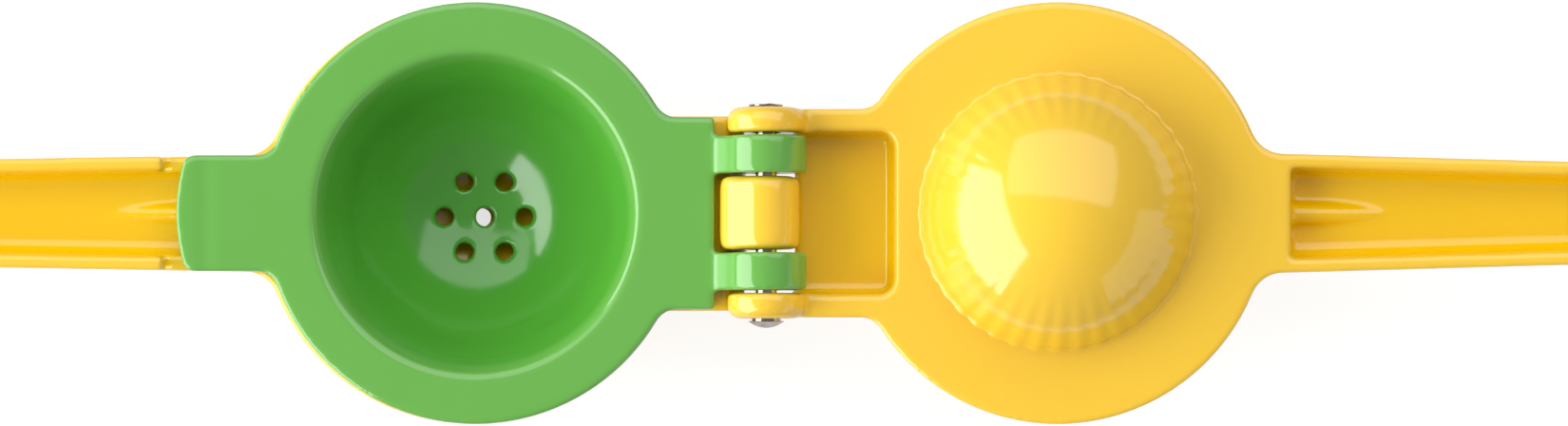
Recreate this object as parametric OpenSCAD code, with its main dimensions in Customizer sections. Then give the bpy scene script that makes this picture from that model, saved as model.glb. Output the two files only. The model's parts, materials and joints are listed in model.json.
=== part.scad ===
// Two-size hinged citrus squeezer, lying open flat. A lemon bowl arm and a press arm turn on one
// rivet pin, with a loose lime cup between them that lies in the lemon bowl.
// X runs along the handles, Y along the pin and Z up. The origin is on the surface that the bowl
// rests on, straight below the pin and midway across it. The bowl arm reaches towards -X.

/* [Reach] */
// Hinge pin axis to the centre of the lime cup and of the press dome
press_x = 55.2; // [54:0.1:60]
// How much farther from the pin the centre of the lemon bowl lies
bowl_shift = 1; // [0:0.1:1.5]
// Hinge pin axis to the end of each handle
handle_reach = 217; // [190:1:240]

/* [Plates] */
// Radius of the three round flanges
flange_r = 40; // [39:0.5:42]
// Thickness of the flanges, the necks and the finger tab
plate_t = 3; // [2.4:0.1:3.6]
// Gap between the lime cup and the press plate when the squeezer is closed
closed_gap = 1; // [0.6:0.1:1.6]
// Gap under the lime cup's flange, above the lemon bowl's flange
nest_gap = 0.3; // [0.2:0.05:0.6]
// Half width of the lime cup's neck
cup_neck = 18.2; // [17:0.1:18.4]
// Half width of the bowl arm's neck
bowl_neck = 18.5; // [17.5:0.1:19]
// Half width of the press arm's neck
press_neck = 19.75; // [19.3:0.05:20]
// Fillet between a neck and its flange
neck_fillet = 4.5; // [2:0.5:7]

/* [Hinge] */
// Diameter of the rivet pin
pin_d = 4; // [3:0.1:4.6]
// Running clearance round the pin, on the radius
pin_play = 0.05; // [0.02:0.01:0.09]
// Width of the bowl arm's knuckle, in the middle of the hinge
centre_w = 14; // [12:0.1:15]
// Width of each of the lime cup's two knuckles
cup_knuckle_w = 7.15; // [6:0.05:7.4]
// Width of each of the press arm's two ears
ear_w = 4.85; // [4:0.05:6]
// Side gap between neighbouring knuckles
knuckle_gap = 0.5; // [0.3:0.05:0.8]
// Radius of the bowl arm's knuckle
centre_r = 6.35; // [5.5:0.05:6.8]
// Radius of the lime cup's knuckles
barrel_r = 7.7; // [7:0.05:7.9]
// Radius of the press arm's ears
ear_r = 7.4; // [6.5:0.05:7.6]
// Pin axis to the end of the lime cup's neck plate
cup_neck_x = 9.8; // [9.7:0.05:10.5]
// Rounding of the ears' outer edges
ear_round = 2.4; // [1:0.1:2.6]
// Rounding of the ears' inner edges
ear_inner_round = 0.8; // [0.4:0.1:1.2]
// Pin axis to the notch where a rail of the pocket meets its ear
rail_x = 6.4; // [6:0.1:6.6]
// How far the ear's foot is set in from the rail's side
foot_inset = 0.5; // [0.3:0.1:0.8]
// Gap between the lime cup's neck plate and the bowl arm's knuckle
riser_gap = 1; // [0.6:0.05:1.2]
// Radius of the rounded back of the bowl arm's riser, above its neck
riser_round = 5; // [4:0.1:6]
// Angle below the pin's level at which the riser meets the outer end of the curved lip
riser_end = 40; // [36:1:46]
// Angle below the pin's level at which the riser meets the inner end of the curved lip
riser_root = 64; // [58:1:66]
// Angle above the pin's level up to which the ramp rises on a lime cup's knuckle
ramp_top = 38; // [37:1:50]
// Gap between the lime cup's knuckles and the curved lip below them
seat_gap = 0.5; // [0.4:0.05:0.9]
// Thickness of the curved lip
lip_t = 2.8; // [2:0.1:3.2]
// Pin axis to the edge of the curved lip
lip_x = 4.2; // [3.5:0.1:5]
// Diameter of the rivet's domed head
head_d = 6.9; // [6:0.1:8]
// Height of the rivet's domed head
head_h = 1.3; // [1:0.1:1.8]
// Diameter of the rivet's collar, under the head
collar_d = 5.5; // [5:0.1:6]
// Height of the rivet's collar
collar_h = 0.45; // [0.3:0.05:0.8]
// Diameter of the rivet's peened tail
tail_d = 6.65; // [5.5:0.05:7.5]
// Height of the rivet's peened tail
tail_h = 0.7; // [0.5:0.1:1.2]

/* [Lime cup] */
// Radius of the cup's wall at the flange
cup_rim_r = 30.5; // [30:0.1:31]
// Radius of the ring where the wall meets the round bottom
cup_crease_r = 24.1; // [23.5:0.1:25]
// Depth of that ring below the flange
cup_crease_depth = 13.6; // [12.5:0.1:14.5]
// Depth of the cup inside
cup_depth = 28; // [27:0.1:29]
// Wall of the cup
cup_wall = 2.2; // [1.8:0.1:2.4]
// Rounding of the cup's rim
rim_round = 1.6; // [1:0.1:2]
// Diameter of the juice holes round the centre
hole_d = 3.5; // [2.5:0.1:4]
// Diameter of the juice hole in the centre
centre_hole_d = 3.7; // [2.5:0.1:4.5]
// Radius of the ring of juice holes
hole_ring_r = 7.85; // [7:0.05:9]
// Number of juice holes in the ring
hole_count = 6; // [4:1:8]
// Flange centre to the outer edge of the finger tab
tab_reach = 56.7; // [55:0.1:57.5]
// Half width of the finger tab
tab_half = 11; // [10:0.1:11.5]
// Corner radius of the finger tab
tab_corner = 2.4; // [0.8:0.1:3]
// Radius of the finger tab's curved outer edge
tab_end_r = 36; // [30:1:80]
// Fillet between the finger tab and the flange
tab_fillet = 4; // [2:0.5:6]

/* [Lemon bowl] */
// Radius of the bowl's wall at the flange
bowl_rim_r = 34.5; // [34:0.1:35.5]
// Radius of the ring where the wall meets the round bottom
bowl_crease_r = 28; // [27.5:0.1:29]
// Depth of that ring below the flange
bowl_crease_depth = 13.2; // [12.5:0.1:14]
// Depth of the bowl inside
bowl_depth = 29.9; // [29:0.1:31]
// Wall of the bowl
bowl_wall = 2.6; // [2.2:0.1:3]
// How much of the round bottom is cut away to a flat
foot_cut = 0.7; // [0.4:0.1:0.9]
// Radius of the ring of juice holes in the bowl
bowl_ring_r = 8.5; // [8:0.1:9.5]

/* [Press dome] */
// Radius of the dome where it stands on the plate
dome_r = 26.1; // [25:0.1:26.6]
// Height of the dome above the plate
dome_h = 21.5; // [20:0.1:23]
// Wall of the hollow dome
dome_wall = 2.5; // [2:0.1:3]
// Number of flutes round the dome
flute_count = 40; // [24:4:48]
// Depth of a flute at the foot of the dome
flute_depth = 0.4; // [0.3:0.05:0.8]
// Radius of a flute's round bottom
flute_r = 1.8; // [1.2:0.1:2.2]
// Radius from the dome's axis where the flutes fade out
flute_fade_r = 22.5; // [21:0.5:24]

/* [Hinge pocket] */
// Depth of the pocket below the plate's face
pocket_depth = 7.5; // [7.4:0.1:8.5]
// Thickness of the pocket's floor
pocket_floor = 2.6; // [2:0.1:3]
// Pin axis to the open edge of the pocket's floor
pocket_lip_x = 5.4; // [5.3:0.1:6.5]
// Pin axis to the closed end of the pocket
pocket_x = 24.5; // [23:0.1:25.5]
// Half width of the pocket at the plate's face
pocket_half = 15.6; // [15.2:0.05:16]
// Radius of the pocket's corners at the plate's face
pocket_corner = 3.2; // [2.5:0.1:5]
// Angle by which the pocket's walls lean out
pocket_draft = 6; // [2:0.5:8]
// Fillet along the pocket's floor
pocket_round = 1.6; // [1:0.1:2]

/* [Handles] */
// Height of a handle's trough
trough_h = 9.7; // [8.5:0.1:11]
// Thickness of the trough's floor
trough_floor = 2.2; // [1.8:0.1:3]
// Thickness of the trough's walls
trough_wall = 2.4; // [2:0.1:2.8]
// Fillet along the trough's floor
trough_round = 2.5; // [1:0.1:3]
// Fillet at the foot of the trough's closed end
trough_end_round = 1; // [0.5:0.1:2]
// Angle by which the trough's walls lean out
trough_draft = 8; // [2:0.5:10]
// Rounding along the outside of the trough's floor
keel_round = 3; // [1.5:0.1:3.5]
// Half width of the bowl arm's handle next to the flange
bowl_grip_root = 11.1; // [10.5:0.05:11.5]
// Half width of the bowl arm's handle at its end
bowl_grip_end = 9.1; // [8:0.1:10.5]
// Half width of the press arm's handle next to the flange
press_grip_root = 11.35; // [10.5:0.05:12]
// Half width of the press arm's handle at its end
press_grip_end = 8; // [7.5:0.1:10.5]
// Fillet between a handle and its flange
grip_fillet = 6.3; // [3:0.1:8]
// Radius of the rounded end of a handle
grip_end_r = 11; // [10.8:0.1:16]
// Flange edge to the closed end of the trough
trough_start = 4.1; // [3.6:0.1:6]
// Width of the round rib that dips into the trough's floor
rib_w = 4.1; // [3:0.1:5]
// Height of the rib at the trough's closed end
rib_h = 3; // [2:0.1:4]
// Length of the rib in the press arm
press_rib_len = 19.2; // [12:0.1:26]
// Length of the rib in the bowl arm
bowl_rib_len = 26; // [20:0.1:32]
// Gap between the finger tab's end and the step in the bowl arm's walls
step_gap = 2.6; // [1:0.1:4]
// Depth of the notch at the foot of that step
notch = 0.8; // [0.4:0.1:1.2]

/* [Hidden] */
$fn = 96;

// How far a cut or a joined piece runs past a face
over = 1;
// How far a rounding runs past the faces that it blends, so that it never just touches them
bite = 0.01;
pocket_bite = 0.05;
// Heights below the pin axis
face_z = -closed_gap / 2;
cup_under = face_z - plate_t;
bowl_face = cup_under - nest_gap;
bowl_under = bowl_face - plate_t;
trough_low = face_z - trough_h;
pocket_low = face_z - pocket_depth - pocket_floor;
// Height of the pin axis above the flat foot of the bowl
axis_z = bowl_depth + bowl_wall - bowl_face - foot_cut;
// Places along the arms, as distances from the pin axis
bowl_x = press_x + bowl_shift;
riser_x = cup_neck_x - riser_gap;
seat_r = barrel_r + seat_gap;
step_x = press_x + tab_reach + step_gap;
// Places across the hinge, as distances from its middle
cup_knuckle_y = centre_w / 2 + knuckle_gap;
ear_y = cup_knuckle_y + cup_knuckle_w + knuckle_gap;
hinge_half = ear_y + ear_w;
bore_d = pin_d + 2 * pin_play;

// Turns a drawing of X and Z into a solid that is w wide along Y.
module across(w) {
    rotate([90, 0, 0]) linear_extrude(w, center = true) children();
}

// Turns a drawing of Y and Z into a solid that runs from the origin to len along X.
module along(len) {
    rotate([90, 0, 90]) linear_extrude(len) children();
}

// Repeats its children, mirrored, on the other side of the middle plane.
module both_sides() {
    for (side = [0, 1]) mirror([0, side, 0]) children();
}

// A cylinder along Y from y to y + w.
module knuckle(r, y, w) {
    translate([0, y + w, 0]) rotate([90, 0, 0]) cylinder(r = r, h = w);
}

// The same with rounded edges: by outer at the end away from the middle plane, by inner at the other.
module rounded_knuckle(r, y, w, outer, inner) {
    translate([0, y + w, 0]) rotate([90, 0, 0]) rotate_extrude() {
        polygon([
            [0, 0],
            [r - outer, 0],
            [r - outer, outer],
            [r, outer],
            [r, w - inner],
            [r - inner, w - inner],
            [r - inner, w],
            [0, w]
        ]);
        translate([r - outer, outer]) circle(r = outer);
        translate([r - inner, w - inner]) circle(r = inner);
    }
}

module pin_bore() {
    knuckle(bore_d / 2, -hinge_half - over, 2 * (hinge_half + over));
}

// Distance along a side from a disc's centre to where the fillet between them ends. The side runs
// half_w from the centre.
function fillet_run(half_w, fillet) = sqrt(pow(flange_r + fillet, 2) - pow(half_w + fillet, 2));

// How much a handle's side leans in, and how far it passes from its flange's centre.
function side_lean(root, tip, root_x) = atan2(root - tip, handle_reach - root_x);
function side_offset(root, lean, run) = root * cos(lean) + run * sin(lean);

// Outline of an arm that leaves a disc at the origin towards +X, with filleted corners. Its sides
// pass half_w from the disc's centre and lean in by lean degrees.
module branch(half_w, lean, fillet, len) {
    run = fillet_run(half_w, fillet);
    difference() {
        union() {
            circle(r = flange_r);
            intersection_for (side = [0, 1]) {
                mirror([0, side]) rotate(-lean) translate([-over, half_w - 2 * flange_r])
                    square([len + over, 2 * flange_r]);
            }
            both_sides() rotate(-lean) polygon([[0, 0], [run, half_w + fillet], [run, 0]]);
        }
        both_sides() rotate(-lean) translate([run, half_w + fillet]) circle(r = fillet + bite);
    }
}

// Outline of a round flange with a neck that runs back to near_x at the hinge.
module neck_outline(centre_x, near_x, neck_half) {
    translate([centre_x, 0]) mirror([1, 0]) branch(neck_half, 0, neck_fillet, centre_x - near_x);
}

// Half of a dish in section, from its axis out: a sloping wall down to a crease, then a ball. The
// rim is rounded by the radius round_r.
module dish_section(rim_r, crease_r, crease_depth, depth, round_r) {
    rise = depth - crease_depth;
    ball_r = ball_radius(crease_r, rise);
    slope = atan2(rim_r - crease_r, crease_depth);
    set = round_r / tan((90 + slope) / 2);
    polygon([[0, 0], [rim_r, 0], [crease_r, -crease_depth], [0, -crease_depth]]);
    intersection() {
        translate([0, ball_r - depth]) circle(r = ball_r);
        translate([0, -depth - over]) square([ball_r, rise + over]);
    }
    if (round_r > 0) difference() {
        polygon([
            [rim_r - over, over],
            [rim_r + set, over],
            [rim_r + set, -round_r],
            [rim_r - set * sin(slope), -set * cos(slope)],
            [rim_r - over, -set * cos(slope)]
        ]);
        translate([rim_r + set, -round_r]) circle(r = round_r + bite);
    }
}

// Radius of the ball whose cap has the given foot radius and height.
function ball_radius(foot_r, height) = (pow(foot_r, 2) + pow(height, 2)) / (2 * height);

module dish(rim_r, crease_r, crease_depth, depth, round_r) {
    rotate_extrude() dish_section(rim_r, crease_r, crease_depth, depth, round_r);
}

// The dish that lies one wall outside the given one.
module outer_dish(rim_r, crease_r, crease_depth, depth, wall) {
    rise = depth - crease_depth;
    lean = atan2(ball_radius(crease_r, rise) - rise, crease_r);
    dish(rim_r + wall, crease_r + wall * cos(lean), crease_depth + wall * sin(lean), depth + wall, 0);
}

// One hole in the middle and a ring of holes, turned by the angle turn.
module juice_holes(depth, ring_r, turn) {
    translate([0, 0, -depth - 2 * over]) {
        cylinder(d = centre_hole_d, h = depth);
        for (i = [0 : hole_count - 1]) {
            rotate(turn + i * 360 / hole_count) translate([ring_r, 0, 0]) cylinder(d = hole_d, h = depth);
        }
    }
}

// Section of one side of a trough: everything inside a wall that passes through the drawing's
// axis at the level of the faces and leans out by draft, with the corner at its foot rounded.
module side_section(low, high, corner, draft) {
    foot_x = (low - face_z) * tan(draft);
    set = corner / tan((90 + draft) / 2);
    polygon([
        [-handle_reach, low],
        [foot_x - set, low],
        [foot_x - set, low + corner],
        [foot_x + set * sin(draft), low + set * cos(draft)],
        [(high - face_z) * tan(draft), high],
        [-handle_reach, high]
    ]);
    translate([foot_x - set, low + corner]) circle(r = corner);
}

// The space between two sides that pass half_w from centre_x and lean in, from near_x on.
module tapered_bar(centre_x, near_x, half_w, lean, low, high, corner, draft) {
    intersection_for (side = [0, 1]) {
        mirror([0, side, 0]) translate([centre_x, 0, 0]) rotate(-lean)
            translate([near_x - centre_x, half_w, 0]) along(handle_reach)
                side_section(low, high, corner, draft);
    }
}

// Cuts its children to the rounded end of a handle, inset by the given wall.
module round_end(inset) {
    intersection() {
        children();
        translate([0, 0, trough_low - over]) linear_extrude(trough_h + 4 * over) {
            translate([0, -flange_r]) square([handle_reach - grip_end_r, 2 * flange_r]);
            translate([handle_reach - grip_end_r, 0]) circle(r = grip_end_r - inset);
        }
    }
}

// The outside of a handle, from near_x on.
module trough_body(centre_x, near_x, half_w, lean) {
    round_end(0) tapered_bar(centre_x, near_x, half_w, lean, trough_low, face_z, keel_round, 0);
}

// The open space in a handle, with the round rib left standing on its floor.
module trough_space(centre_x, half_w, lean, rib_len) {
    floor_z = trough_low + trough_floor;
    high = face_z + over;
    start_x = press_x + flange_r + trough_start;
    difference() {
        intersection() {
            round_end(trough_wall) tapered_bar(
                centre_x, start_x - over, half_w - trough_wall, lean,
                floor_z, high, trough_round, trough_draft
            );
            translate([start_x, 0, 0]) mirror([1, 0, 0]) across(2 * flange_r)
                side_section(floor_z, high, trough_end_round, trough_draft);
        }
        translate([start_x, 0, floor_z + rib_h - rib_w / 2])
            rotate([0, 90 + atan(rib_h / rib_len), 0]) translate([0, 0, -over])
            cylinder(d = rib_w, h = 2 * rib_len);
    }
}

// The lemon bowl arm, drawn towards +X with the pin axis at the origin.
module bowl_arm_shape() {
    lean = side_lean(bowl_grip_root, bowl_grip_end, bowl_x + flange_r);
    half_w = side_offset(bowl_grip_root, lean, flange_r);
    difference() {
        union() {
            translate([0, 0, bowl_under]) linear_extrude(plate_t) {
                neck_outline(bowl_x, seat_r, bowl_neck);
                translate([bowl_x, 0])
                    branch(half_w, lean, grip_fillet, fillet_run(half_w, grip_fillet));
            }
            translate([bowl_x, 0, bowl_face])
                outer_dish(bowl_rim_r, bowl_crease_r, bowl_crease_depth, bowl_depth, bowl_wall);
            trough_body(bowl_x, bowl_x + bowl_crease_r, half_w, lean);
            across(2 * bowl_neck) lip_section();
            across(centre_w) riser_section();
        }
        translate([bowl_x, 0, bowl_face]) {
            dish(bowl_rim_r, bowl_crease_r, bowl_crease_depth, bowl_depth, rim_round);
            juice_holes(bowl_depth + bowl_wall, bowl_ring_r, 180 / hole_count);
        }
        trough_space(bowl_x, half_w, lean, bowl_rib_len);
        // The walls stay low under the lime cup's flange and tab, and step up beyond them.
        translate([bowl_x, -flange_r, bowl_face]) cube([step_x - bowl_x, 2 * flange_r, flange_r]);
        across(4 * flange_r) translate([step_x, bowl_face]) circle(r = notch);
        translate([bowl_x, 0, -axis_z - over]) cylinder(r = bowl_rim_r, h = over);
        pin_bore();
    }
}

// The curved lip under the hinge, in section.
module lip_section() {
    difference() {
        intersection() {
            circle(r = seat_r + lip_t);
            translate([lip_x, -seat_r - lip_t]) square([seat_r + lip_t, seat_r + lip_t + bowl_face]);
        }
        circle(r = seat_r);
    }
}

// The bowl arm's knuckle in section, with the riser that joins it to the lip.
module riser_section() {
    foot_r = seat_r + lip_t / 2;
    circle(r = centre_r);
    translate([riser_x - riser_round, face_z]) circle(r = riser_round);
    polygon([
        [0, 0],
        [riser_x - riser_round, face_z],
        [riser_x, face_z],
        [riser_x, bowl_face - plate_t / 4],
        [foot_r * cos(riser_end), -foot_r * sin(riser_end)],
        [lip_x, -foot_r * sin(riser_root)],
        [0, -centre_r + over]
    ]);
}

// The lime cup, drawn towards +X with the pin axis at the origin.
module lime_cup_shape() {
    difference() {
        union() {
            translate([0, 0, cup_under]) linear_extrude(plate_t) {
                neck_outline(press_x, cup_neck_x, cup_neck);
                translate([press_x, 0]) tab_outline();
            }
            translate([press_x, 0, face_z])
                outer_dish(cup_rim_r, cup_crease_r, cup_crease_depth, cup_depth, cup_wall);
            both_sides() {
                knuckle(barrel_r, cup_knuckle_y, cup_knuckle_w);
                translate([0, cup_knuckle_y + cup_knuckle_w / 2, 0]) across(cup_knuckle_w) ramp_section();
            }
        }
        translate([press_x, 0, face_z]) {
            dish(cup_rim_r, cup_crease_r, cup_crease_depth, cup_depth, rim_round);
            juice_holes(cup_depth + cup_wall, hole_ring_r, 0);
        }
        pin_bore();
    }
}

// Outline of the flange with its finger tab, whose outer edge is a shallow arc with round corners.
module tab_outline() {
    arc_x = tab_reach - tab_end_r;
    corner_y = tab_half - tab_corner;
    corner_x = arc_x + sqrt(pow(tab_end_r - tab_corner, 2) - pow(corner_y, 2));
    spread = 2 * tab_end_r / norm([corner_x - arc_x, corner_y]);
    branch(tab_half, 0, tab_fillet, corner_x);
    both_sides() translate([corner_x, corner_y]) circle(r = tab_corner);
    intersection() {
        translate([arc_x, 0]) circle(r = tab_end_r);
        polygon([
            [arc_x, 0],
            [arc_x + spread * (corner_x - arc_x), spread * corner_y],
            [arc_x + spread * (corner_x - arc_x), -spread * corner_y]
        ]);
    }
}

// The ramp from the lime cup's neck plate up onto a knuckle, in section.
module ramp_section() {
    inner_r = barrel_r - over / 2;
    polygon([
        [0, 0],
        [inner_r * cos(ramp_top), inner_r * sin(ramp_top)],
        [cup_neck_x, face_z],
        [cup_neck_x + over, face_z],
        [cup_neck_x + over, cup_under],
        [0, cup_under]
    ]);
}

// The press arm, drawn towards +X with the pin axis at the origin.
module press_arm_shape() {
    lean = side_lean(press_grip_root, press_grip_end, press_x + flange_r);
    half_w = side_offset(press_grip_root, lean, flange_r);
    difference() {
        union() {
            translate([0, 0, cup_under]) linear_extrude(plate_t) {
                neck_outline(press_x, pocket_x, press_neck);
                translate([press_x, 0])
                    branch(half_w, lean, grip_fillet, fillet_run(half_w, grip_fillet));
            }
            translate([press_x, 0, face_z]) fluted_dome();
            trough_body(press_x, press_x + flange_r, half_w, lean);
            across(2 * press_grip_root) grip_ramp_section();
            across(2 * press_neck) neck_section(rail_x);
            across(2 * (press_neck - foot_inset)) neck_section(0);
            both_sides() rounded_knuckle(ear_r, ear_y, ear_w, ear_round, ear_inner_round);
        }
        pocket_space();
        translate([press_x, 0, face_z]) dome_hollow();
        trough_space(press_x, half_w, lean, press_rib_len);
        pin_bore();
    }
}

// The sides and floor of the hinge pocket from near_x on, in section, rising to the plate behind the
// pocket.
module neck_section(near_x) {
    back_x = pocket_x + pocket_floor;
    intersection() {
        polygon([
            [0, face_z],
            [0, -ear_r + over],
            [pocket_lip_x, pocket_low],
            [back_x, pocket_low],
            [press_x - dome_r, cup_under],
            [press_x - dome_r, face_z]
        ]);
        translate([near_x, pocket_low - over]) square([press_x, -2 * pocket_low]);
    }
}

// The fairing that carries the handle's trough into the underside of the plate, in section.
module grip_ramp_section() {
    edge_x = press_x + flange_r;
    polygon([
        [edge_x - 2 * trough_h, cup_under + over / 2],
        [edge_x - 2 * trough_h, cup_under],
        [edge_x, trough_low],
        [edge_x + over, trough_low],
        [edge_x + over, cup_under + over / 2]
    ]);
}

// The space in the hinge pocket, open above and between the ears. Its walls are upright where the
// lime cup's knuckles turn, and lean out beyond them.
module pocket_space() {
    floor_z = face_z - pocket_depth;
    back = ear_r + over;
    near_x = barrel_r + over;
    pocket_sides(-back, near_x + bite, ear_y, floor_z, back, 0);
    intersection() {
        pocket_sides(near_x, pocket_x + over, pocket_half, floor_z, face_z + over, pocket_draft);
        translate([pocket_x, 0, 0]) across(4 * ear_y)
            side_section(floor_z, face_z + over, pocket_round, pocket_draft);
        pocket_corners(near_x, floor_z);
    }
    translate([-back, -ear_y, pocket_low - over]) cube([back + pocket_lip_x, 2 * ear_y, 2 * back]);
}

module pocket_sides(from_x, to_x, half_w, low, high, draft) {
    intersection_for (side = [0, 1]) {
        mirror([0, side, 0]) translate([from_x, half_w, 0]) along(to_x - from_x)
            side_section(low, high, pocket_round, draft);
    }
}

// What the pocket's two round corners, which lean out as its walls do, leave of the space.
module pocket_corners(near_x, floor_z) {
    low = floor_z - over;
    high = face_z + over;
    corner_x = pocket_x - pocket_corner;
    corner_y = pocket_half - pocket_corner;
    grow = tan(pocket_draft);
    translate([near_x, -2 * ear_y, low]) cube([corner_x - near_x, 4 * ear_y, high - low]);
    translate([near_x, -corner_y, low]) cube([2 * pocket_x, 2 * corner_y, high - low]);
    both_sides() translate([corner_x, corner_y, low]) cylinder(
        r1 = pocket_corner + pocket_bite + (low - face_z) * grow,
        r2 = pocket_corner + pocket_bite + (high - face_z) * grow,
        h = high - low
    );
}

// The press dome as a ball's cap, with flutes that run up it and fade out.
module fluted_dome() {
    ball_r = ball_radius(dome_r, dome_h);
    centre_z = dome_h - ball_r;
    difference() {
        intersection() {
            translate([0, 0, centre_z]) sphere(r = ball_r);
            translate([0, 0, -over]) cylinder(r = 2 * dome_r, h = 2 * dome_h);
        }
        for (i = [0 : flute_count - 1]) {
            rotate((i + 0.5) * 360 / flute_count) flute(ball_r, centre_z);
        }
    }
}

// A round cutter that leans on the dome. It bites flute_depth into the foot and leaves the ball at
// flute_fade_r.
module flute(ball_r, centre_z) {
    foot_x = dome_r - flute_depth;
    fade_z = centre_z + sqrt(pow(ball_r, 2) - pow(flute_fade_r, 2));
    run = foot_x - flute_fade_r;
    translate([foot_x, 0, 0]) rotate([0, -atan2(run, fade_z), 0]) translate([flute_r, 0, -2 * over])
        cylinder(r = flute_r, h = norm([run, fade_z]) + 4 * over);
}

// The hollow behind the dome, open below.
module dome_hollow() {
    inner_r = dome_r - dome_wall;
    inner_ball = ball_radius(dome_r, dome_h) - dome_wall;
    intersection() {
        translate([0, 0, dome_h - dome_wall - inner_ball]) sphere(r = inner_ball);
        translate([0, 0, -plate_t]) cylinder(r = inner_r, h = dome_h + plate_t);
    }
    translate([0, 0, -trough_h - over]) cylinder(r = inner_r, h = trough_h + over);
}

module rivet() {
    head_ball = ball_radius(head_d / 2, head_h);
    knuckle(pin_d / 2, -hinge_half - collar_h, 2 * hinge_half + collar_h + tail_h);
    knuckle(collar_d / 2, -hinge_half - collar_h - over / 10, collar_h + over / 10);
    knuckle(tail_d / 2, hinge_half, tail_h);
    translate([0, -hinge_half - collar_h, 0]) rotate([90, 0, 0]) intersection() {
        translate([0, 0, head_h - head_ball]) sphere(r = head_ball);
        cylinder(d = head_d, h = head_h + over);
    }
}

module lower_arm() {
    color("gold") translate([0, 0, axis_z]) mirror([1, 0, 0]) bowl_arm_shape();
}

module lime_cup() {
    color("mediumseagreen") translate([0, 0, axis_z]) mirror([1, 0, 0]) lime_cup_shape();
}

module upper_arm() {
    color("gold") translate([0, 0, axis_z]) press_arm_shape();
}

module hinge_pin() {
    color("silver") translate([0, 0, axis_z]) rivet();
}

lower_arm();
lime_cup();
upper_arm();
hinge_pin();
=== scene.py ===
"""Dresses the frame of a hinged lemon squeezer: three enamelled castings on one steel rivet.

The castings start as copies of the frame's own solids. Each gets its softer details, is remeshed
and smoothed as thick enamel smooths a casting, and takes a coat that is glossy but not perfect.
"""

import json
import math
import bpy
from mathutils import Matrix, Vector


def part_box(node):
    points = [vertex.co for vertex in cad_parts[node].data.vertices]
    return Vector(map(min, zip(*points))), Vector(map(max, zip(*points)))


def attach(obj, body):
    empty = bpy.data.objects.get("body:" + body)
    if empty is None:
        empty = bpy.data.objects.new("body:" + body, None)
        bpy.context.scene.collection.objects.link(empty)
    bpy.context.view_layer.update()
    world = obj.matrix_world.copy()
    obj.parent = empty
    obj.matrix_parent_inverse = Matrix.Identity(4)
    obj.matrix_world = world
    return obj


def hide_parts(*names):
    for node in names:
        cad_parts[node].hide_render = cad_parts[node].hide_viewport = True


bl_info = {
    "name": "Hinged Lemon Squeezer",
    "version": (1, 0, 0),
    "blender": (4, 5, 0),
    "location": "3D View > Sidebar > Squeezer",
    "description": "Builds an enamelled lemon and lime squeezer around its frame",
    "category": "Add Mesh",
}

import bpy
from mathutils import Vector

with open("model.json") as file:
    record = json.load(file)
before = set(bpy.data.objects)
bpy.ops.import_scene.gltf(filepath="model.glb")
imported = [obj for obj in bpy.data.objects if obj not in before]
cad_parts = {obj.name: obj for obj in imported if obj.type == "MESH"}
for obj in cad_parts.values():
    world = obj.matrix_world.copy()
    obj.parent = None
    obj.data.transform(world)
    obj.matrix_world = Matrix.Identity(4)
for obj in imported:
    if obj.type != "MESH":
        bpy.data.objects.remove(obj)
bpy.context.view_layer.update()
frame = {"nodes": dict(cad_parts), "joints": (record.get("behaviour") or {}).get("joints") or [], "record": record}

MM = 0.001
PIN_Z = frame["joints"][0]["pos_m"][2]


def opening_centre(name):
    """Middle of one of the openings that the record states."""
    for opening in frame["record"]["physics"]["openings"]:
        if opening["name"] == name:
            low, high = opening["box_m"]
            return (Vector(low) + Vector(high)) / 2
    raise RuntimeError(f"the record states no opening named {name}")


CUP_X = opening_centre("lime_cup_mouth").x
DOME_X = opening_centre("dome_hollow_mouth").x
HALF_CLOSED_GAP = 0.5 * MM
PRESS_FACE_Z = PIN_Z - HALF_CLOSED_GAP
RIVET_END_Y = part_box("hinge_pin")[1].y

# Vertices this close to a level count as lying on it.
LEVEL_TOLERANCE = 0.001 * MM
MERGE_DISTANCE = 0.0005 * MM
CASTING_SHADE_ANGLE = math.radians(50)
RIVET_SHADE_ANGLE = math.radians(40)

# The shallow bend across the finger tab, and how far from the tab's end it lies.
TAB_BEND_INSET = 5.6 * MM
TAB_BEND_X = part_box("lime_cup")[0].x + TAB_BEND_INSET
TAB_BEND_WIDTH = 1.7 * MM
TAB_BEND_DEPTH = 0.14 * MM

# What of the arms is rounded further at the hinge, and how often.
HINGE_REACH = 9 * MM
KNUCKLE_HALF_WIDTH = 7.5 * MM
EAR_ROUNDS = 6
KNUCKLE_ROUNDS = 60

# The fluted dome, how deep its foot goes into the plate, and the cutter that makes room for it.
FACES_PER_FLUTE = 8
DOME_RINGS = 132
HOLLOW_RINGS = 64
FOOT_STEPS = 5
FOOT_SINK = 1.6 * MM
DOME_CUT_MARGIN = 0.3 * MM
DOME_CUT_LIFT = 0.02 * MM

# The rivet: rings on its head, places along the shank as shares of its half length, and the tail's
# outline as insets in edge roundings and rises in fifths of the tail's height.
HEAD_STEPS = 9
SHANK_SHARES = (-0.75, -0.38, 0, 0.38, 0.75)
TAIL_OUTLINE = ((1, 0), (0, 1), (0, 3), (1, 4), (6, 4.6), (12, 4))
HAMMERED_FROM = 0.7
HAMMERED_DEPTH = 0.22 * MM

# How far below the press arm's face the painted shade starts (a deeper, darker coat colour in recesses), and over
# what depth it deepens.
PAINTED_SHADE_DROP = 1.5 * MM
PAINTED_SHADE_DEPTH = 3 * MM
ENAMEL_IOR = 1.7
ENAMEL_BUMP = 0.5
ENAMEL_BUMP_DISTANCE = 0.02 * MM
RING_BUMP = 15.0
RING_FADE = 2 * MM
LEMON_SPECK = (0.35, 0.16, 0.01)
LIME_SPECK = (0.02, 0.12, 0.01)

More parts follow.
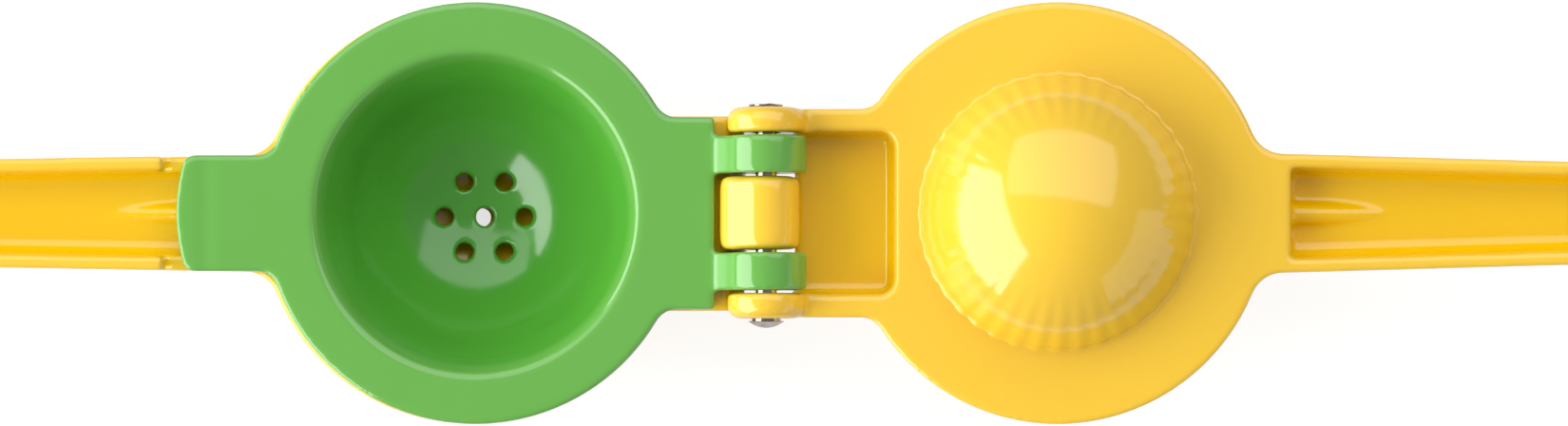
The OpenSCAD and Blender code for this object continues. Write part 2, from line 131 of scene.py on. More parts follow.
# Scales of the noise in the coat, and of the cells that hold its specks.
DRIFT_SCALE = 45.0
HAZE_SCALE = 110.0
WAVE_SCALE = 130.0
SPECK_CHOICE_SCALE = 190.0
SPECK_CELL_SCALE = 260.0
PEEL_SCALE = 520.0
SPECK_RADIUS = 0.035

# Size, centre and facing of each light panel.
KEY_PANEL = ((4.05, 2.3), (-2.07, 0.13, 1.1), (0.9, 0.435, 0))
TOP_PANEL = ((4.2, 2.85), (0.15, 1.75, 1.65), (-0.056, -0.416, -0.91))
FILL_PANEL = ((2.7, 1.5), (2.15, -1.1, 0.45), (-0.89, 0.454, 0))
FLOOR_SCALE = (0.8, 0.27, 1.0)
FLOOR_IN_GLOSS = 0.6
CEILING_LOW = 0.55
CEILING_HIGH = 0.95
SENSOR_WIDTH = 36.0


# ---------------------------------------------------------------------------------------------
# Properties


class CastingSettings(bpy.types.PropertyGroup):
    """Sizes of the castings' finish."""

    voxel: bpy.props.FloatProperty(
        name="Voxel",
        description="Cell size at which the castings are remeshed",
        default=0.42 * MM,
        unit="LENGTH",
    )
    rounds: bpy.props.IntProperty(
        name="Smoothing rounds",
        description="How often the remeshed casting is smoothed",
        default=14,
    )
    flat_angle: bpy.props.FloatProperty(
        name="Flat angle",
        description="Faces that lean less than this against each other are joined",
        default=math.radians(0.08),
        subtype="ANGLE",
    )


class DomeSettings(bpy.types.PropertyGroup):
    """Sizes of the fluted press dome."""

    foot_r: bpy.props.FloatProperty(
        name="Foot radius",
        description="Radius of the dome where it stands on the plate",
        default=26.1 * MM,
        unit="LENGTH",
    )
    height: bpy.props.FloatProperty(
        name="Height",
        description="Height of the dome above the plate",
        default=21.5 * MM,
        unit="LENGTH",
    )
    wall: bpy.props.FloatProperty(
        name="Wall",
        description="Wall of the hollow dome",
        default=2.5 * MM,
        unit="LENGTH",
    )
    flutes: bpy.props.IntProperty(
        name="Flutes",
        description="Number of flutes round the dome",
        default=40,
    )
    flute_depth: bpy.props.FloatProperty(
        name="Flute depth",
        description="Depth of the flutes at the dome's foot",
        default=0.22 * MM,
        unit="LENGTH",
    )
    fade_r: bpy.props.FloatProperty(
        name="Fade radius",
        description="Radius from the dome's axis where the flutes have faded out",
        default=15.5 * MM,
        unit="LENGTH",
    )
    fillet: bpy.props.FloatProperty(
        name="Foot fillet",
        description="Fillet between the dome and the plate",
        default=0.9 * MM,
        unit="LENGTH",
    )


class RivetSettings(bpy.types.PropertyGroup):
    """Sizes of the rivet."""

    shank_d: bpy.props.FloatProperty(
        name="Shank diameter",
        description="Diameter of the rivet's shank",
        default=4.0 * MM,
        unit="LENGTH",
    )
    head_d: bpy.props.FloatProperty(
        name="Head diameter",
        description="Diameter of the rivet's domed head",
        default=6.9 * MM,
        unit="LENGTH",
    )
    head_h: bpy.props.FloatProperty(
        name="Head height",
        description="Height of the rivet's domed head",
        default=1.3 * MM,
        unit="LENGTH",
    )
    collar_d: bpy.props.FloatProperty(
        name="Collar diameter",
        description="Diameter of the collar under the head",
        default=5.5 * MM,
        unit="LENGTH",
    )
    collar_h: bpy.props.FloatProperty(
        name="Collar height",
        description="Height of the collar under the head",
        default=0.45 * MM,
        unit="LENGTH",
    )
    tail_d: bpy.props.FloatProperty(
        name="Tail diameter",
        description="Diameter of the rivet's peened tail",
        default=6.65 * MM,
        unit="LENGTH",
    )
    tail_h: bpy.props.FloatProperty(
        name="Tail height",
        description="Height of the rivet's peened tail",
        default=0.7 * MM,
        unit="LENGTH",
    )
    edge: bpy.props.FloatProperty(
        name="Edge rounding",
        description="Rounding of the head's and the tail's edges",
        default=0.14 * MM,
        unit="LENGTH",
    )


class CoatSettings(bpy.types.PropertyGroup):
    """Colours and gloss of the enamel and of the rivet."""

    lemon: bpy.props.FloatVectorProperty(
        name="Lemon",
        description="Colour of the two arms",
        default=(0.89, 0.555, 0.040),
        subtype="COLOR",
    )
    # Painted shade: the arms' deeper colour in recesses, standing in for shade.
    lemon_painted_shade: bpy.props.FloatVectorProperty(
        name="Lemon, deep",
        description="Colour of the arms where the coat has pooled",
        default=(0.90, 0.565, 0.002),
        subtype="COLOR",
    )
    lime: bpy.props.FloatVectorProperty(
        name="Lime",
        description="Colour of the cup",
        default=(0.134, 0.405, 0.068),
        subtype="COLOR",
    )
    # Painted shade: the cup's darker colour in its recesses, standing in for shade.
    lime_painted_shade: bpy.props.FloatVectorProperty(
        name="Lime, deep",
        description="Colour of the cup where the coat has pooled",
        default=(0.082, 0.362, 0.034),
        subtype="COLOR",
    )
    gloss: bpy.props.FloatProperty(
        name="Coat roughness",
        description="Roughness of the enamel",
        default=0.13,
        min=0.0,
        max=1.0,
    )


class StageSettings(bpy.types.PropertyGroup):
    """Camera and light."""

    camera_height: bpy.props.FloatProperty(
        name="Camera height",
        description="Height of the camera above the plates' faces",
        default=850 * MM,
        unit="LENGTH",
    )
    view_width: bpy.props.FloatProperty(
        name="View width",
        description="Width of the view at the plates' faces",
        default=297 * MM,
        unit="LENGTH",
    )
    camera_x: bpy.props.FloatProperty(
        name="Camera X",
        description="Place of the camera along the handles",
        default=3.35 * MM,
        unit="LENGTH",
    )
    camera_y: bpy.props.FloatProperty(
        name="Camera Y",
        description="Place of the camera along the pin",
        default=-22.7 * MM,
        unit="LENGTH",
    )
    key: bpy.props.FloatProperty(
        name="Key softbox",
        description="Brightness of the large softbox on the left",
        default=3.1,
    )
    top: bpy.props.FloatProperty(
        name="Top softbox",
        description="Brightness of the softbox above and behind",
        default=1.1,
    )
    fill: bpy.props.FloatProperty(
        name="Fill panel",
        description="Brightness of the low panel on the right",
        default=0.6,
    )
    sky: bpy.props.FloatProperty(
        name="Surround",
        description="Strength of the dim surround",
        default=0.29,
    )
    gleam: bpy.props.FloatProperty(
        name="Ceiling gleam",
        description="How bright glossy surfaces see the pale ceiling",
        default=0.28,
    )
    floor_lift: bpy.props.FloatProperty(
        name="Floor lift",
        description="How much of its own light the floor shows the camera",
        default=0.72,
    )


# ---------------------------------------------------------------------------------------------
# Modelling helpers


def take(obj):
    """Selects one object alone and makes it active."""
    bpy.ops.object.select_all(action="DESELECT")
    obj.select_set(True)
    bpy.context.view_layer.objects.active = obj


def fresh(name):
    """Names the primitive that was just added."""
    piece = bpy.context.object
    piece.name = name
    piece.data.name = name
    return piece


def place(piece):
    """Puts a piece's place, turn and scale into its mesh."""
    take(piece)
    bpy.ops.object.transform_apply(location=True, rotation=True, scale=True)


def finish_with(piece, kind, **values):
    """Adds a modifier and applies it."""
    take(piece)
    modifier = piece.modifiers.new(kind.title(), kind)
    for name, value in values.items():
        setattr(modifier, name, value)
    bpy.ops.object.modifier_apply(modifier=modifier.name)


def combine(piece, other, operation):
    """Joins another solid to a piece, or cuts it away, and removes it."""
    finish_with(piece, "BOOLEAN", object=other, operation=operation, solver="MANIFOLD")
    bpy.data.objects.remove(other)


def pick(piece, kind, test):
    """Selects the vertices or faces of a piece, in edit mode, for which test is true."""
    take(piece)
    bpy.ops.object.mode_set(mode="EDIT")
    bpy.ops.mesh.select_mode(type=kind)
    bpy.ops.mesh.select_all(action="DESELECT")
    bpy.ops.object.mode_set(mode="OBJECT")
    items = piece.data.vertices if kind == "VERT" else piece.data.polygons
    for item in items:
        item.select = test(item)
    bpy.ops.object.mode_set(mode="EDIT")


def casting_copy(node, name):
    """A merged copy of one of the frame's solids."""
    piece = bpy.data.objects.new(name, frame["nodes"][node].data.copy())
    piece.data.name = name
    piece.data.materials.clear()
    bpy.context.scene.collection.objects.link(piece)
    take(piece)
    bpy.ops.object.mode_set(mode="EDIT")
    bpy.ops.mesh.select_all(action="SELECT")
    bpy.ops.mesh.remove_doubles(threshold=MERGE_DISTANCE)
    bpy.ops.object.mode_set(mode="OBJECT")
    return piece


def soften(piece, settings):
    """Remeshes a casting and rounds all its edges, as its thick coat does."""
    finish_with(piece, "REMESH", mode="VOXEL", voxel_size=settings.voxel, use_smooth_shade=True)
    finish_with(piece, "SMOOTH", factor=0.5, iterations=settings.rounds)


def group_by(piece, name, weight):
    """A vertex group with the weight that the function gives each vertex."""
    group = piece.vertex_groups.new(name=name)
    for vertex in piece.data.vertices:
        share = weight(vertex.co)
        if share > 0:
            group.add([vertex.index], share, "REPLACE")
    return group.name


def round_more(piece, name, test, rounds):
    """Rounds one place of a casting further."""
    group = group_by(piece, name, lambda co: 1.0 if test(co) else 0.0)
    finish_with(piece, "SMOOTH", factor=0.5, iterations=rounds, vertex_group=group)


def flatten(piece, settings):
    """Joins the faces of flat places, and shades the rest smooth."""
    finish_with(piece, "DECIMATE", decimate_type="DISSOLVE", angle_limit=settings.flat_angle)
    take(piece)
    bpy.ops.object.shade_smooth_by_angle(angle=CASTING_SHADE_ANGLE)


def dress(piece, body, node, material):
    """Gives a finished piece its material and its place in the frame."""
    piece.data.materials.clear()
    piece.data.materials.append(material)
    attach(piece, body)
    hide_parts(node)


# ---------------------------------------------------------------------------------------------
# Materials


def new_group(name, inputs, outputs):
    """A shader node group with named inputs and outputs, and its two end nodes."""
    group = bpy.data.node_groups.new(name, "ShaderNodeTree")
    for label, kind, value in inputs:
        socket = group.interface.new_socket(name=label, in_out="INPUT", socket_type=kind)
        if value is not None:
            socket.default_value = value
    for label, kind in outputs:
        group.interface.new_socket(name=label, in_out="OUTPUT", socket_type=kind)
    start = group.nodes.new("NodeGroupInput")
    end = group.nodes.new("NodeGroupOutput")
    return group, start, end


def math_node(tree, operation, first, second=None, clamp=False):
    """A Math node with its inputs joined or set."""
    node = tree.nodes.new("ShaderNodeMath")
    node.operation = operation
    node.use_clamp = clamp
    for socket, value in zip(node.inputs, (first, second)):
        if value is None:
            continue
        if isinstance(value, bpy.types.NodeSocket):
            tree.links.new(value, socket)
        else:
            socket.default_value = value
    return node.outputs[0]


def noise(tree, vector, scale, detail=2.0, roughness=0.5):
    """A noise texture's factor on the given coordinates."""
    node = tree.nodes.new("ShaderNodeTexNoise")
    node.inputs["Scale"].default_value = scale
    node.inputs["Detail"].default_value = detail
    node.inputs["Roughness"].default_value = roughness
    tree.links.new(vector, node.inputs["Vector"])
    return node.outputs["Fac"]


def ramp(tree, factor, low, high):
    """Maps low..high of a factor to 0..1, smoothly and clamped."""
    node = tree.nodes.new("ShaderNodeMapRange")
    node.interpolation_type = "SMOOTHSTEP"
    node.inputs["From Min"].default_value = low
    node.inputs["From Max"].default_value = high
    tree.links.new(factor, node.inputs["Value"])
    return node.outputs["Result"]


def enamel_group():
    """Sprayed and baked enamel: painted shade in recesses as a deeper, darker colour, slow drift of the film,
    orange peel and a few specks.
    """
    group, start, end = new_group(
        "Enamel film",
        [
            ("Vector", "NodeSocketVector", None),
            ("Colour", "NodeSocketColor", None),
            ("Deep colour", "NodeSocketColor", None),
            ("Speck colour", "NodeSocketColor", None),
            ("Pool level", "NodeSocketFloat", 0.0),
            ("Roughness", "NodeSocketFloat", 0.13),
        ],
        [
            ("Colour", "NodeSocketColor"),
            ("Roughness", "NodeSocketFloat"),
            ("Height", "NodeSocketFloat"),
        ],
    )
    links = group.links
    where = start.outputs["Vector"]
    # What lies below the level takes a deeper, darker colour there: painted shade in the recesses.
    parts = group.nodes.new("ShaderNodeSeparateXYZ")
    links.new(where, parts.inputs["Vector"])
    below = math_node(group, "SUBTRACT", start.outputs["Pool level"], parts.outputs["Z"])
    painted_shade = ramp(group, below, 0.0, PAINTED_SHADE_DEPTH)
    # Random drift varies the painted shade here and there.
    drift = math_node(group, "MULTIPLY", noise(group, where, DRIFT_SCALE, 2.0), 0.3)
    drift = math_node(group, "SUBTRACT", drift, 0.1)
    painted_shade = math_node(group, "ADD", painted_shade, drift, clamp=True)
    coat = group.nodes.new("ShaderNodeMix")
    coat.data_type = "RGBA"
    links.new(painted_shade, coat.inputs["Factor"])
    links.new(start.outputs["Colour"], coat.inputs["A"])
    links.new(start.outputs["Deep colour"], coat.inputs["B"])

    cells = group.nodes.new("ShaderNodeTexVoronoi")
    cells.inputs["Scale"].default_value = SPECK_CELL_SCALE
    cells.inputs["Randomness"].default_value = 1.0
    links.new(where, cells.inputs["Vector"])
    dot = math_node(group, "LESS_THAN", cells.outputs["Distance"], SPECK_RADIUS)
    choice = noise(group, where, SPECK_CHOICE_SCALE, 0.0)
    chosen = math_node(group, "GREATER_THAN", choice, 0.66)
    speck = math_node(group, "MULTIPLY", dot, chosen)
    speck = math_node(group, "MULTIPLY", speck, 0.55)
    specked = group.nodes.new("ShaderNodeMix")
    specked.data_type = "RGBA"
    links.new(speck, specked.inputs["Factor"])
    links.new(coat.outputs["Result"], specked.inputs["A"])
    links.new(start.outputs["Speck colour"], specked.inputs["B"])
    links.new(specked.outputs["Result"], end.inputs["Colour"])

    haze = math_node(group, "MULTIPLY", noise(group, where, HAZE_SCALE, 3.0), 0.10)
    rough = math_node(group, "ADD", start.outputs["Roughness"], haze)
    rough = math_node(group, "SUBTRACT", rough, 0.05)
    links.new(rough, end.inputs["Roughness"])

    peel = noise(group, where, PEEL_SCALE, 1.0)
    waves = noise(group, where, WAVE_SCALE, 1.0)
    height = math_node(group, "MULTIPLY", waves, 2.2)
    height = math_node(group, "ADD", height, peel)
    links.new(height, end.inputs["Height"])
    return group


def turned_rings_group():
    """Fine rings left by turning a surface round an upright axis, as a height."""
    group, start, end = new_group(
        "Turned rings",
        [
            ("Vector", "NodeSocketVector", None),
            ("Pitch", "NodeSocketFloat", 0.5 * MM),
            ("From radius", "NodeSocketFloat", 24 * MM),
            ("To radius", "NodeSocketFloat", 30 * MM),
        ],
        [("Height", "NodeSocketFloat")],
    )
    links = group.links
    parts = group.nodes.new("ShaderNodeSeparateXYZ")
    links.new(start.outputs["Vector"], parts.inputs["Vector"])
    flat = group.nodes.new("ShaderNodeCombineXYZ")
    links.new(parts.outputs["X"], flat.inputs["X"])
    links.new(parts.outputs["Y"], flat.inputs["Y"])
    length = group.nodes.new("ShaderNodeVectorMath")
    length.operation = "LENGTH"
    links.new(flat.outputs["Vector"], length.inputs[0])
    radius = length.outputs["Value"]
    turns = math_node(group, "DIVIDE", radius, start.outputs["Pitch"])
    only = group.nodes.new("ShaderNodeCombineXYZ")
    links.new(turns, only.inputs["X"])
    lines = noise(group, only.outputs["Vector"], 1.0, 3.0, 0.7)
    inner = math_node(group, "SUBTRACT", radius, start.outputs["From radius"])
    inner = math_node(group, "MULTIPLY", inner, 1 / RING_FADE, clamp=True)
    outer = math_node(group, "SUBTRACT", start.outputs["To radius"], radius)
    outer = math_node(group, "MULTIPLY", outer, 1 / RING_FADE, clamp=True)
    band = math_node(group, "MULTIPLY", inner, outer)
    patchy = ramp(group, noise(group, start.outputs["Vector"], 60.0, 2.0), 0.35, 0.75)
    band = math_node(group, "MULTIPLY", band, patchy)
    links.new(math_node(group, "MULTIPLY", lines, band), end.inputs["Height"])
    return group


def enamel(name, colour, deep, speck, roughness, film, rings=None, centre=None):
    """A glossy coat over cast aluminium. It may show turned rings round the given centre."""
    material = bpy.data.materials.new(name)
    material.use_nodes = True
    tree = material.node_tree
    shader = tree.nodes["Principled BSDF"]
    shader.inputs["IOR"].default_value = ENAMEL_IOR
    where = tree.nodes.new("ShaderNodeTexCoord").outputs["Object"]
    coat = tree.nodes.new("ShaderNodeGroup")
    coat.node_tree = film
    tree.links.new(where, coat.inputs["Vector"])
    coat.inputs["Colour"].default_value = (*colour, 1)
    coat.inputs["Deep colour"].default_value = (*deep, 1)
    coat.inputs["Speck colour"].default_value = (*speck, 1)
    # Below this level the coat takes its painted shade colour, darker in the recesses.
    coat.inputs["Pool level"].default_value = PRESS_FACE_Z - PAINTED_SHADE_DROP
    coat.inputs["Roughness"].default_value = roughness
    tree.links.new(coat.outputs["Colour"], shader.inputs["Base Color"])
    tree.links.new(coat.outputs["Roughness"], shader.inputs["Roughness"])
    height = coat.outputs["Height"]
    if rings:
        moved = tree.nodes.new("ShaderNodeMapping")
        moved.inputs["Location"].default_value = (-centre, 0, 0)
        tree.links.new(where, moved.inputs["Vector"])
        turned = tree.nodes.new("ShaderNodeGroup")
        turned.node_tree = rings
        tree.links.new(moved.outputs["Vector"], turned.inputs["Vector"])
        strong = math_node(tree, "MULTIPLY", turned.outputs["Height"], RING_BUMP)
        height = math_node(tree, "ADD", height, strong)
    bump = tree.nodes.new("ShaderNodeBump")
    bump.inputs["Strength"].default_value = ENAMEL_BUMP
    bump.inputs["Distance"].default_value = ENAMEL_BUMP_DISTANCE
    tree.links.new(height, bump.inputs["Height"])
    tree.links.new(bump.outputs["Normal"], shader.inputs["Normal"])
    return material


def rivet_steel():
    """Turned steel with fine rings across its length and a little staining."""
    material = bpy.data.materials.new("Rivet steel")
    material.use_nodes = True
    tree = material.node_tree
    shader = tree.nodes["Principled BSDF"]
    shader.inputs["Metallic"].default_value = 1.0
    where = tree.nodes.new("ShaderNodeTexCoord").outputs["Object"]
    stretch = tree.nodes.new("ShaderNodeMapping")
    stretch.inputs["Scale"].default_value = (60.0, 2200.0, 60.0)
    tree.links.new(where, stretch.inputs["Vector"])
    fine = noise(tree, stretch.outputs["Vector"], 1.0, 3.0)
    stain = ramp(tree, noise(tree, where, 420.0, 3.0), 0.35, 0.75)
    mixed = tree.nodes.new("ShaderNodeMix")
    mixed.data_type = "RGBA"
    mixed.inputs["A"].default_value = (0.50, 0.45, 0.40, 1)
    mixed.inputs["B"].default_value = (0.30, 0.24, 0.19, 1)
    tree.links.new(stain, mixed.inputs["Factor"])
    tree.links.new(mixed.outputs["Result"], shader.inputs["Base Color"])
    rough = math_node(tree, "MULTIPLY", fine, 0.10)
    rough = math_node(tree, "ADD", rough, 0.04)
    tree.links.new(rough, shader.inputs["Roughness"])
    bump = tree.nodes.new("ShaderNodeBump")
    bump.inputs["Strength"].default_value = 0.25
    bump.inputs["Distance"].default_value = 0.01 * MM
    tree.links.new(fine, bump.inputs["Height"])
    tree.links.new(bump.outputs["Normal"], shader.inputs["Normal"])
    return material


def lemon_enamel():
    """The arms' coat, made once and shared."""
    made = bpy.data.materials.get("Lemon enamel")
    if made:
        return made
    coat = bpy.context.scene.squeezer_coat
    film = bpy.data.node_groups.get("Enamel film") or enamel_group()
    return enamel("Lemon enamel", coat.lemon, coat.lemon_painted_shade, LEMON_SPECK, coat.gloss, film)


def lime_enamel():
    """The cup's coat, with the rings that turning its mouth left."""
    coat = bpy.context.scene.squeezer_coat
    film = bpy.data.node_groups.get("Enamel film") or enamel_group()
    rings = turned_rings_group()
    return enamel(
        "Lime enamel",
        coat.lime,
        coat.lime_painted_shade,
        LIME_SPECK,
        coat.gloss,
        film,
        rings,
        CUP_X,
    )


# ---------------------------------------------------------------------------------------------
# Pieces


def fluted_dome(settings):
    """The press dome's shell, fluted and flared at its foot, as a closed solid."""
    ball_r = (settings.foot_r**2 + settings.height**2) / (2 * settings.height)
    centre = Vector((DOME_X, 0, PRESS_FACE_Z + settings.height - ball_r))
    turns = settings.flutes * FACES_PER_FLUTE
    bpy.ops.mesh.primitive_uv_sphere_add(
        segments=turns, ring_count=DOME_RINGS, radius=ball_r, location=centre
    )
    dome = fresh("fluted_dome")
    place(dome)
    low = PRESS_FACE_Z + settings.fillet
    pick(dome, "FACE", lambda face: True)
    bpy.ops.mesh.bisect(plane_co=(0, 0, low), plane_no=(0, 0, 1), clear_inner=True)
    bpy.ops.object.mode_set(mode="OBJECT")

    def depth(co):
        """How deep the surface is pushed in at a point, from 0 to 1."""
        x, y = co.x - DOME_X, co.y
        wave = 0.5 - 0.5 * math.cos(math.atan2(y, x) * settings.flutes)
        fade = (math.hypot(x, y) - settings.fade_r) / (settings.foot_r - settings.fade_r)
        return wave * max(0, min(1, fade))

    group = group_by(dome, "flutes", depth)
    finish_with(
        dome,
        "DISPLACE",
        strength=-settings.flute_depth,
        mid_level=0.0,
        vertex_group=group,
    )

    # The foot flares out onto the plate and then goes down into it.
    pick(dome, "VERT", lambda vertex: vertex.co.z < low + LEVEL_TOLERANCE)
    wall_r = math.sqrt(ball_r**2 - (low - centre.z) ** 2)
    for step in range(1, FOOT_STEPS + 1):
        angle = math.pi / 2 * step / FOOT_STEPS
        last = angle - math.pi / 2 / FOOT_STEPS
        out = wall_r + settings.fillet * (1 - math.cos(angle))
        before = wall_r + settings.fillet * (1 - math.cos(last))
        down = settings.fillet * (math.sin(angle) - math.sin(last))
        bpy.ops.mesh.extrude_region_move(TRANSFORM_OT_translate={"value": (0, 0, -down)})
        bpy.ops.transform.resize(
            value=(out / before, out / before, 1), center_override=(DOME_X, 0, low)
        )
    bpy.ops.mesh.extrude_region_move(TRANSFORM_OT_translate={"value": (0, 0, -FOOT_SINK)})
    bpy.ops.object.mode_set(mode="OBJECT")

    inner_r = ball_r - settings.wall
    foot_z = PRESS_FACE_Z - FOOT_SINK
    bpy.ops.mesh.primitive_uv_sphere_add(
        segments=turns, ring_count=HOLLOW_RINGS, radius=inner_r, location=centre
    )
    hollow = fresh("dome_hollow")
    place(hollow)
    pick(hollow, "FACE", lambda face: True)
    bpy.ops.mesh.bisect(plane_co=(0, 0, low), plane_no=(0, 0, 1), clear_inner=True)
    bpy.ops.mesh.select_all(action="SELECT")
    bpy.ops.mesh.flip_normals()
    bpy.ops.object.mode_set(mode="OBJECT")
    pick(hollow, "VERT", lambda vertex: vertex.co.z < low + LEVEL_TOLERANCE)
    bpy.ops.mesh.extrude_region_move(
        TRANSFORM_OT_translate={"value": (0, 0, foot_z - low)}
    )
    bpy.ops.object.mode_set(mode="OBJECT")

    bpy.ops.object.select_all(action="DESELECT")
    hollow.select_set(True)
    dome.select_set(True)
    bpy.context.view_layer.objects.active = dome
    bpy.ops.object.join()
    pick(dome, "VERT", lambda vertex: vertex.co.z < foot_z + LEVEL_TOLERANCE)
    bpy.ops.mesh.bridge_edge_loops()
    bpy.ops.mesh.select_all(action="SELECT")
    bpy.ops.mesh.normals_make_consistent(inside=False)
    bpy.ops.object.mode_set(mode="OBJECT")
    return dome


class SQUEEZER_OT_upper_arm(bpy.types.Operator):
    """Builds the press arm with its fluted dome"""

    bl_idname = "squeezer.upper_arm"
    bl_label = "Press arm"

    def execute(self, context):
        casting = context.scene.squeezer_casting
        dome = context.scene.squeezer_dome
        arm = casting_copy("upper_arm", "press_arm")
        bpy.ops.mesh.primitive_cylinder_add(
            vertices=128,
            radius=dome.foot_r + DOME_CUT_MARGIN,
            depth=dome.height * 2,
            location=(DOME_X, 0, PRESS_FACE_Z + DOME_CUT_LIFT + dome.height),
        )
        combine(arm, fresh("dome_cut"), "DIFFERENCE")
        soften(arm, casting)
        round_more(arm, "ears", lambda co: co.x < HINGE_REACH, EAR_ROUNDS)
        combine(arm, fluted_dome(dome), "UNION")
        flatten(arm, casting)
        dress(arm, "upper_arm", "upper_arm", lemon_enamel())
        return {"FINISHED"}


class SQUEEZER_OT_lower_arm(bpy.types.Operator):
    """Builds the lemon bowl arm"""

    bl_idname = "squeezer.lower_arm"
    bl_label = "Lemon bowl arm"

    def execute(self, context):
        casting = context.scene.squeezer_casting
        arm = casting_copy("lower_arm", "bowl_arm")
        soften(arm, casting)

        def in_knuckle(co):
            """Whether a point belongs to the knuckle in the middle of the hinge."""
            return co.x > -HINGE_REACH and abs(co.y) < KNUCKLE_HALF_WIDTH

        round_more(arm, "knuckle", in_knuckle, KNUCKLE_ROUNDS)
        flatten(arm, casting)
        dress(arm, "lower_arm", "lower_arm", lemon_enamel())
        return {"FINISHED"}


class SQUEEZER_OT_lime_cup(bpy.types.Operator):
    """Builds the loose lime cup"""

    bl_idname = "squeezer.lime_cup"
    bl_label = "Lime cup"

    def execute(self, context):
        casting = context.scene.squeezer_casting
        cup = casting_copy("lime_cup", "green_cup")
        soften(cup, casting)

        def bend(co):
            """The shallow bend across the finger tab."""
            return math.exp(-(((co.x - TAB_BEND_X) / TAB_BEND_WIDTH) ** 2))

        group = group_by(cup, "tab_bend", bend)
        finish_with(
            cup,
            "DISPLACE",
            direction="Z",
            strength=-TAB_BEND_DEPTH,
            mid_level=0.0,
            vertex_group=group,
        )
        flatten(cup, casting)
        dress(cup, "lime_cup", "lime_cup", lime_enamel())
        return {"FINISHED"}


def rivet_profile(sizes):
    """Outline of the rivet, as radii and places along the pin, from the head's top to the tail."""
    ear_y = RIVET_END_Y - sizes.tail_h
    under_head = -ear_y - sizes.collar_h
    ball_r = ((sizes.head_d / 2) ** 2 + sizes.head_h**2) / (2 * sizes.head_h)
    widest = math.asin(sizes.head_d / 2 / ball_r)
    points = []
    for step in range(1, HEAD_STEPS + 1):
        angle = widest * (step - 0.35) / (HEAD_STEPS - 0.35)
        fall = ball_r * (1 - math.cos(angle))
        points.append((ball_r * math.sin(angle), under_head - sizes.head_h + fall))
    points[-1] = (sizes.head_d / 2 - sizes.edge * 0.4, points[-1][1] - sizes.edge)
    points.append((sizes.head_d / 2, under_head - sizes.edge * 0.6))
    points.append((sizes.head_d / 2 - sizes.edge, under_head))
    points.append((sizes.collar_d / 2, under_head))
    points.append((sizes.collar_d / 2, -ear_y))
    points.append((sizes.shank_d / 2, -ear_y))
    for share in SHANK_SHARES:
        points.append((sizes.shank_d / 2, ear_y * share))
    points.append((sizes.shank_d / 2, ear_y))
    tail_r = sizes.tail_d / 2
    for inset, rise in TAIL_OUTLINE:
        points.append((tail_r - inset * sizes.edge, ear_y + rise * sizes.tail_h / 5))
    return points


def turned_rivet(sizes):
    """The rivet, turned round the pin's axis ring by ring, with its tail's edge hammered wavy."""
    points = rivet_profile(sizes)
    first_r, first_y = points[0]
    bpy.ops.mesh.primitive_circle_add(
        vertices=96,
        radius=first_r,
        fill_type="NOTHING",
        location=(0, first_y, PIN_Z),
        rotation=(math.pi / 2, 0, 0),
    )
    pin = fresh("rivet")
    place(pin)
    pick(pin, "VERT", lambda vertex: True)
    for (before_r, before_y), (ring_r, ring_y) in zip(points, points[1:]):
        bpy.ops.mesh.extrude_region_move(
            TRANSFORM_OT_translate={"value": (0, ring_y - before_y, 0)}
        )
        grow = ring_r / before_r
        bpy.ops.transform.resize(value=(grow, 1, grow), center_override=(0, ring_y, PIN_Z))
    bpy.ops.mesh.edge_face_add()
    bpy.ops.object.mode_set(mode="OBJECT")
    pick(pin, "VERT", lambda vertex: vertex.co.y < first_y + LEVEL_TOLERANCE)
    bpy.ops.mesh.edge_face_add()
    bpy.ops.mesh.select_all(action="SELECT")
    bpy.ops.mesh.normals_make_consistent(inside=False)
    bpy.ops.object.mode_set(mode="OBJECT")

    def wave(co):
        """How far the tail's edge is driven in at a point, from 0 to 1."""
        reach = math.hypot(co.z - PIN_Z, co.x) / (sizes.tail_d / 2)
        if co.y < RIVET_END_Y - sizes.tail_h - 0.01 * MM or reach < HAMMERED_FROM:
            return 0.0
        turn = math.atan2(co.z - PIN_Z, co.x)
        return 0.5 + 0.25 * math.sin(3 * turn + 1) + 0.25 * math.sin(7 * turn + 2)

    group = group_by(pin, "hammered_edge", wave)
    finish_with(pin, "DISPLACE", strength=-HAMMERED_DEPTH, mid_level=0.0, vertex_group=group)
    take(pin)
    bpy.ops.object.shade_smooth_by_angle(angle=RIVET_SHADE_ANGLE)
    return pin


class SQUEEZER_OT_hinge_pin(bpy.types.Operator):
    """Builds the rivet that carries all three castings"""

    bl_idname = "squeezer.hinge_pin"
    bl_label = "Hinge rivet"

    def execute(self, context):
        pin = turned_rivet(context.scene.squeezer_rivet)
        dress(pin, "upper_arm", "hinge_pin", rivet_steel())
        return {"FINISHED"}


# ---------------------------------------------------------------------------------------------
# Stage


def softbox(name, brightness, size, centre, facing):
    """A rectangular area light of the given brightness that faces a direction."""
    bpy.ops.object.light_add(type="AREA", location=centre)
    lamp = bpy.context.object
    lamp.name = name
    lamp.data.shape = "RECTANGLE"
    lamp.data.size, lamp.data.size_y = size
    # A panel's brightness is a quarter of its power over its area.
    lamp.data.energy = brightness * 4 * size[0] * size[1]
    lamp.rotation_euler = Vector(facing).to_track_quat("-Z", "Y").to_euler()
    return lamp


